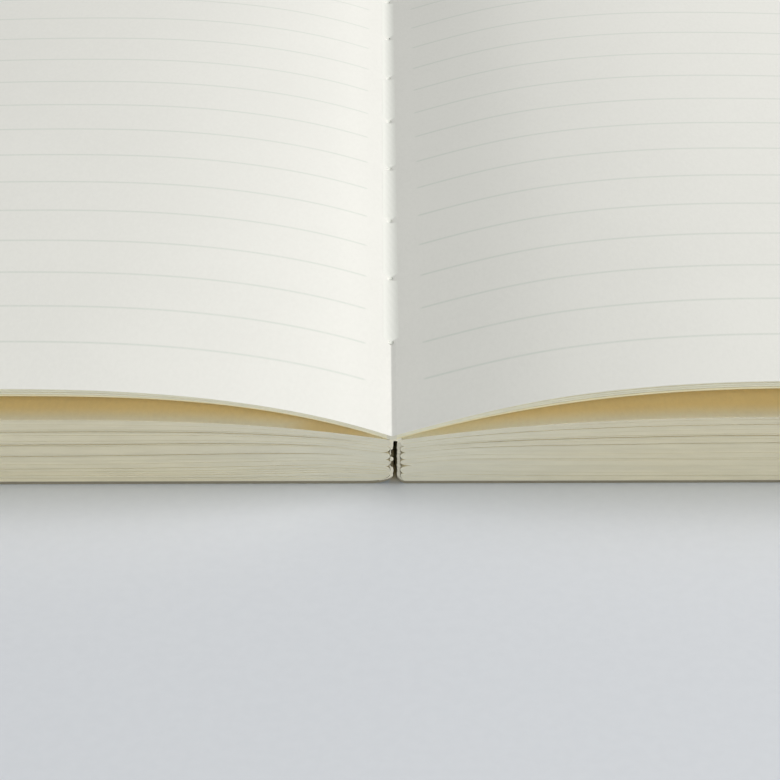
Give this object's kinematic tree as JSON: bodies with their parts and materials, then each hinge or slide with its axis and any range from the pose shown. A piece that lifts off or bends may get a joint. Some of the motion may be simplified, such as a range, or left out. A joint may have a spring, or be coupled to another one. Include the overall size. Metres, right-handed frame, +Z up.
{
  "type": "open sewn notebook",
  "caption": "Thread-sewn notebook of cream ruled paper lying open and flat at its middle fold; the left half closes over the right.",
  "frame": {"origin": "centre of the underside on the table, under the middle fold and halfway between tail and head", "axes": "+X across the pages to the right, +Y from the tail edge to the head edge, +Z up from the table"},
  "size_m": [0.296, 0.21, 0.0109],
  "materials": {
    "page_paper": "uncoated cream writing paper with pale ruled lines",
    "cover_card": "uncoated grey-brown card",
    "gauze": "open cotton weave stiffened with glue",
    "thread": "twisted sewing thread"
  },
  "bodies": {
    "right_half": {"right_pages": "page_paper", "back_cover": "cover_card", "open_signature": "page_paper", "spine_lining": "gauze", "sewing_thread": "thread"},
    "left_half": {"left_pages": "page_paper", "front_cover": "cover_card"}
  },
  "joints": [
    {"name": "closing", "type": "hinge", "parent": "right_half", "child": "left_half", "pos_m": [0, 0, 0.0057], "axis": [0, 1, 0], "range_deg": [0, 170], "deforming": ["open_signature", "spine_lining"]}
  ]
}
